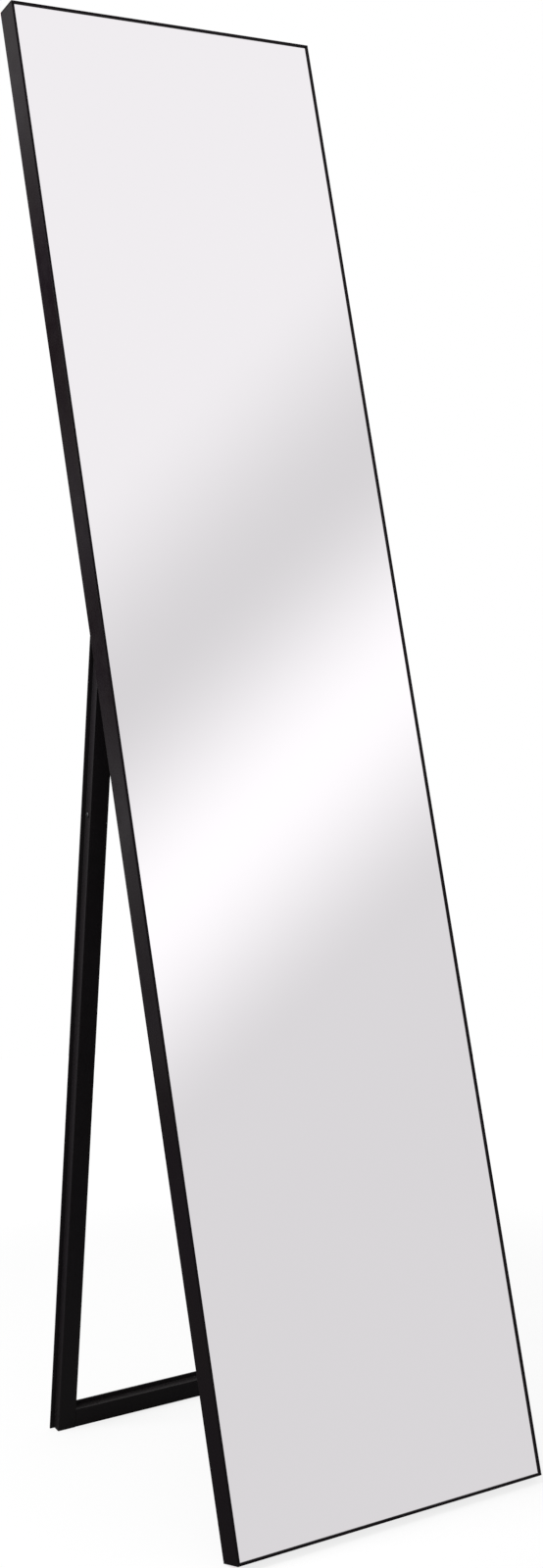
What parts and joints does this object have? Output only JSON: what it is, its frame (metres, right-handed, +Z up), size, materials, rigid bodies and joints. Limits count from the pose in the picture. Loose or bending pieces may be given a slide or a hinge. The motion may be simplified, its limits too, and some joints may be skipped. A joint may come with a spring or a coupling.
{
  "type": "standing mirror",
  "caption": "Full-length mirror in a thin black frame, leaning back on a hinged U-shaped stand that folds flat behind it.",
  "frame": {"origin": "on the floor, under the middle of the open mirror's bounding box", "axes": "+Z up, +X across the mirror to the viewer's right, the viewer looks along +Y at the glass"},
  "size_m": [0.35, 0.4449, 1.4472],
  "materials": {
    "frame_coating": "satin black powder coat on extruded aluminium",
    "stand_coating": "satin black powder coat on extruded aluminium tube",
    "mirror": "silvered float glass, polished",
    "film": "clear adhesive film over grey backing paint",
    "tape": "white double-sided foam tape",
    "board": "black-faced fibreboard, matt",
    "rubber_pad": "matt black rubber",
    "die_cast": "bare die-cast, dull",
    "bracket_steel": "black e-coated bent steel sheet",
    "screw_steel": "black oxide steel",
    "washer_nylon": "natural nylon"
  },
  "bodies": {
    "mirror": {"frame_top_rail": "frame_coating", "frame_bottom_rail": "frame_coating", "frame_left_rail": "frame_coating", "frame_right_rail": "frame_coating", "corner_connector_top_left": "die_cast", "corner_connector_top_right": "die_cast", "corner_connector_bottom_left": "die_cast", "corner_connector_bottom_right": "die_cast", "connector_screws": "screw_steel", "mirror_glass": "mirror", "shatter_film": "film", "bonding_tapes": "tape", "back_board": "board", "glass_edge_pads": "rubber_pad", "left_hinge_bracket": "bracket_steel", "right_hinge_bracket": "bracket_steel", "bracket_screws": "screw_steel"},
    "stand": {"left_leg": "stand_coating", "right_leg": "stand_coating", "crossbar": "stand_coating", "left_hinge_block": "die_cast", "right_hinge_block": "die_cast", "block_screws": "screw_steel", "left_pivot_screw": "screw_steel", "right_pivot_screw": "screw_steel", "pivot_washers": "washer_nylon", "left_stand_key": "die_cast", "right_stand_key": "die_cast", "stand_key_screws": "screw_steel"}
  },
  "joints": [
    {"name": "stand_fold", "type": "hinge", "parent": "mirror", "child": "stand", "pos_m": [0, 0.0422, 0.80301], "axis": [-1, 0, 0], "range_deg": [0, 23.6]}
  ]
}
